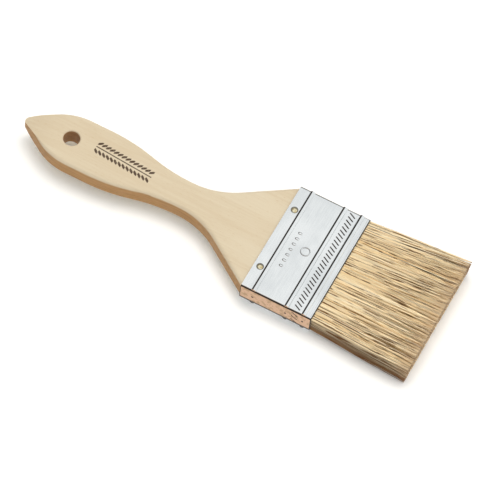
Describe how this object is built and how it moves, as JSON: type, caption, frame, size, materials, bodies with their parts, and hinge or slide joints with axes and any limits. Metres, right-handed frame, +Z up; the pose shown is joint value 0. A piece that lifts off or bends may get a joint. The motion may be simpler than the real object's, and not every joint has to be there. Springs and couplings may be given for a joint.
{
  "type": "pastry brush",
  "caption": "Flat pastry brush: shaped wooden handle with a hanging hole, tinned steel ferrule nailed on, and a straight-cut tuft of natural bristle.",
  "frame": {"origin": "on the table under the middle of the brush as it lies on its back", "axes": "+X from the tail of the handle to the bristle tips, +Y across the width, +Z up out of the front face"},
  "size_m": [0.179, 0.0556, 0.0118],
  "materials": {
    "handle_wood": "sanded bare beech or birch, satin",
    "tinned_steel": "tinned sheet steel, semi-bright",
    "nail_brass": "brass-plated, polished",
    "setting_resin": "cast resin, matt",
    "spacer_wood": "rough sawn",
    "bristle": "natural blond hog bristle, slight sheen"
  },
  "bodies": {
    "brush": {"handle": "handle_wood", "ferrule": "tinned_steel", "nail_front_near": "nail_brass", "nail_front_far": "nail_brass", "nail_back_near": "nail_brass", "nail_back_far": "nail_brass", "setting_block": "setting_resin", "spacer_strip": "spacer_wood", "bristle_roots_front": "bristle", "bristle_roots_back": "bristle"},
    "tuft": {"bristles_front": "bristle", "bristles_back": "bristle"}
  },
  "joints": [
    {"name": "bristle_flex", "type": "hinge", "parent": "brush", "child": "tuft", "pos_m": [0.047, 0, 0.005], "axis": [0, 1, 0], "range_deg": [-35, 35], "stiffness_Nm_per_rad": 0.25, "deforming": ["bristles_front", "bristles_back"]}
  ]
}
